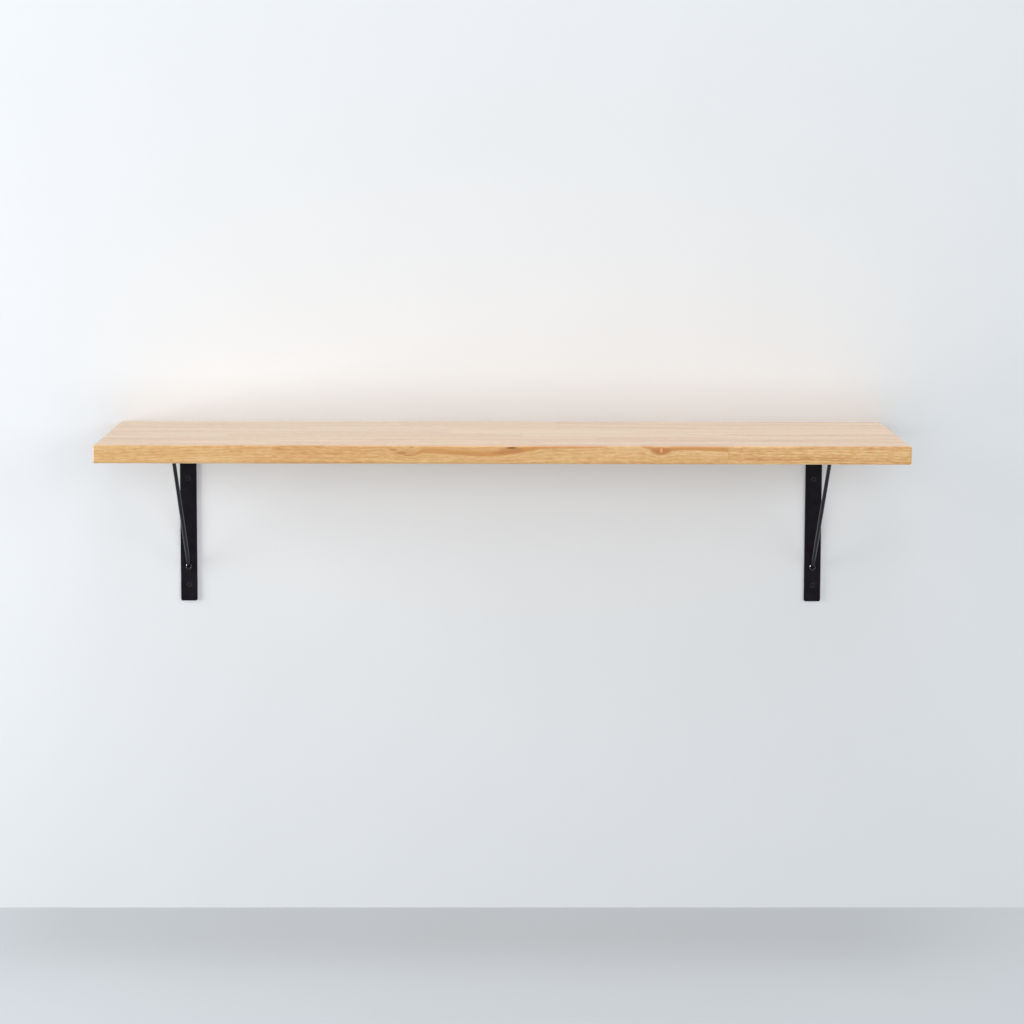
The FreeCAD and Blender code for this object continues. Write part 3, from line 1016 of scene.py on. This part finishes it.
@dataclass
class Studio:
    """The pale wall and floor, and the soft light on them.

    Attributes:
        floor_height: How high the floor lies.
        wall_gap: How far the wall stands behind the board's rear face.
        half_width: Half the wall's width.
        wall_height: The wall's height.
        floor_depth: How far the floor reaches from the wall.
        aim: The point that every lamp faces.
        wall_paint: The wall's colour.
        floor_paint: The floor's colour.
        paint_dullness: The paint's roughness.
        paint_gloss: How strongly it mirrors.
        paint_thin: How bright it is where it lies thin, as a share of its colour.
        paint_clouds: How many thick and thin places lie on a metre.
        roller_marks: How many marks of the roller lie on a metre.
        wall_glow: The light that comes from the wall's side.
        room_glow: The light that comes from the open side.
        glow_edge: How gradually one turns into the other.
        lamps: Every lamp and its name.
    """

    floor_height: float = -0.775
    wall_gap: float = 0.0006
    half_width: float = 3.0
    wall_height: float = 2.6
    floor_depth: float = 5.0
    aim: Point = (0.0, 0.0, -0.1)
    wall_paint: Colour = (0.845, 0.865, 0.892)
    floor_paint: Colour = (0.64, 0.675, 0.71)
    paint_dullness: float = 0.75
    paint_gloss: float = 0.2
    paint_thin: float = 0.985
    paint_clouds: float = 3.0
    roller_marks: float = 160.0
    wall_glow: Colour = (0.83, 0.845, 0.86)
    room_glow: Colour = (0.225, 0.215, 0.205)
    glow_edge: float = 0.2
    lamps: tuple[tuple[str, Lamp], ...] = (
        ("front", Lamp((0.2, -4.8, 0.15), (2.6, 2.6), 99.0, (0.92, 0.985, 1.03), False)),
        ("window_high", Lamp((-3.0, -1.05, 0.9), (1.4, 1.4), 31.0, (0.97, 0.99, 1.01))),
        ("window_low", Lamp((-3.0, -1.1, -0.2), (1.4, 1.0), 34.0)),
        ("right", Lamp((3.0, -3.2, 1.0), (1.8, 1.8), 32.5, (0.95, 0.99, 1.0))),
        ("above", Lamp((0.2, -0.42, 2.5), (1.2, 0.7), 20.0, (0.97, 0.985, 1.01))),
    )

    def build(self) -> None:
        """Builds the wall, the floor, the room's light and the lamps."""
        self._sheet("wall", self._paint("wall_paint", self.wall_paint), True)
        self._sheet("floor", self._paint("floor_paint", self.floor_paint), False)
        self._room()
        for name, lamp in self.lamps:
            lamp.build(name, self.aim)
        log.info("hung %d lamps", len(self.lamps))

    def _sheet(self, name: str, material: bpy.types.Material, upright: bool) -> None:
        """Lays the wall or the floor as a plain sheet seen from its front.

        Args:
            name: The sheet's name.
            material: Its paint.
            upright: Whether it is the wall.
        """
        mesh = bmesh.new()
        bmesh.ops.create_grid(mesh, x_segments=1, y_segments=1, size=1.0)
        length = self.wall_height if upright else self.floor_depth
        bmesh.ops.scale(mesh, vec=(self.half_width, length / 2, 1.0), verts=mesh.verts)
        if upright:
            bmesh.ops.rotate(mesh, matrix=Matrix.Rotation(QUARTER_TURN, 3, "X"), verts=mesh.verts)
            middle = (0.0, self.wall_gap, self.floor_height + length / 2)
        else:
            middle = (0.0, self.wall_gap - length / 2, self.floor_height)
        bmesh.ops.translate(mesh, vec=middle, verts=mesh.verts)
        made = piece_from(name, mesh, material)
        made.visible_shadow = made.visible_diffuse = made.visible_glossy = False
        log.info("laid the %s", name)

    def _paint(self, name: str, colour: Colour) -> bpy.types.Material:
        """Makes flat paint that can be looked through from behind.

        Args:
            name: The material's name.
            colour: The paint's colour.

        Returns:
            The paint.
        """
        sheet = NodeSheet(name)
        cloud = sheet.speckle(self.paint_clouds, 4.0)
        thin = tuple(c * self.paint_thin for c in colour)
        tone = sheet.blend(sheet.remap(cloud, 0.3, 0.7), thin, colour)
        roller = sheet.speckle(self.roller_marks)
        paint = sheet.node("ShaderNodeBsdfPrincipled", {
            "Base Color": tone, "Roughness": self.paint_dullness,
            "Specular IOR Level": self.paint_gloss, "Normal": sheet.bump(roller, 0.0004, 0.3),
        })
        behind = sheet.node("ShaderNodeNewGeometry").outputs["Backfacing"]
        clear = sheet.node("ShaderNodeBsdfTransparent")
        inputs = {0: behind, 1: paint.outputs[0], 2: clear.outputs[0]}
        shown = sheet.node("ShaderNodeMixShader", inputs)
        sheet.node("ShaderNodeOutputMaterial", {"Surface": shown.outputs[0]})
        return sheet.material

    def _room(self) -> None:
        """Lights the room: pale from the wall's side, dimmer from the open side."""
        world = bpy.data.worlds.new("room")
        bpy.context.scene.world = world
        world.use_nodes = True
        nodes, links = world.node_tree.nodes, world.node_tree.links
        nodes.clear()
        place = nodes.new("ShaderNodeTexCoord")
        split = nodes.new("ShaderNodeSeparateXYZ")
        side = nodes.new("ShaderNodeMapRange")
        tone = nodes.new("ShaderNodeMix")
        tone.data_type = "RGBA"
        glow = nodes.new("ShaderNodeBackground")
        plain = nodes.new("ShaderNodeBackground")
        path = nodes.new("ShaderNodeLightPath")
        chosen = nodes.new("ShaderNodeMixShader")
        output = nodes.new("ShaderNodeOutputWorld")
        links.new(place.outputs["Generated"], split.inputs[0])
        links.new(split.outputs[1], side.inputs["Value"])
        side.inputs["From Min"].default_value = -self.glow_edge
        side.inputs["From Max"].default_value = self.glow_edge
        links.new(side.outputs[0], tone.inputs[0])
        tone.inputs[6].default_value = (*self.room_glow, 1.0)
        tone.inputs[7].default_value = (*self.wall_glow, 1.0)
        links.new(tone.outputs[2], glow.inputs["Color"])
        plain.inputs["Color"].default_value = (*self.wall_glow, 1.0)
        links.new(path.outputs["Is Camera Ray"], chosen.inputs[0])
        links.new(glow.outputs[0], chosen.inputs[1])
        links.new(plain.outputs[0], chosen.inputs[2])
        links.new(chosen.outputs[0], output.inputs["Surface"])


def main() -> None:
    """Builds the shelf and its studio."""
    logging.basicConfig(level=logging.INFO, format="%(message)s")
    bpy.context.scene.view_settings.view_transform = "Standard"
    Eye().build()
    Studio().build()
    Board().build()
    bar = BlackCoat(smooth=0.36, dull=0.44, gloss=0.18, peel=0.00005).material("bar_coat")
    rod = BlackCoat(smooth=0.055, dull=0.09, gloss=0.15, peel=0.000004).material("rod_coat")
    for side in Side:
        Bracket(side).build(bar, rod)


if __name__ == "__main__":
    main()
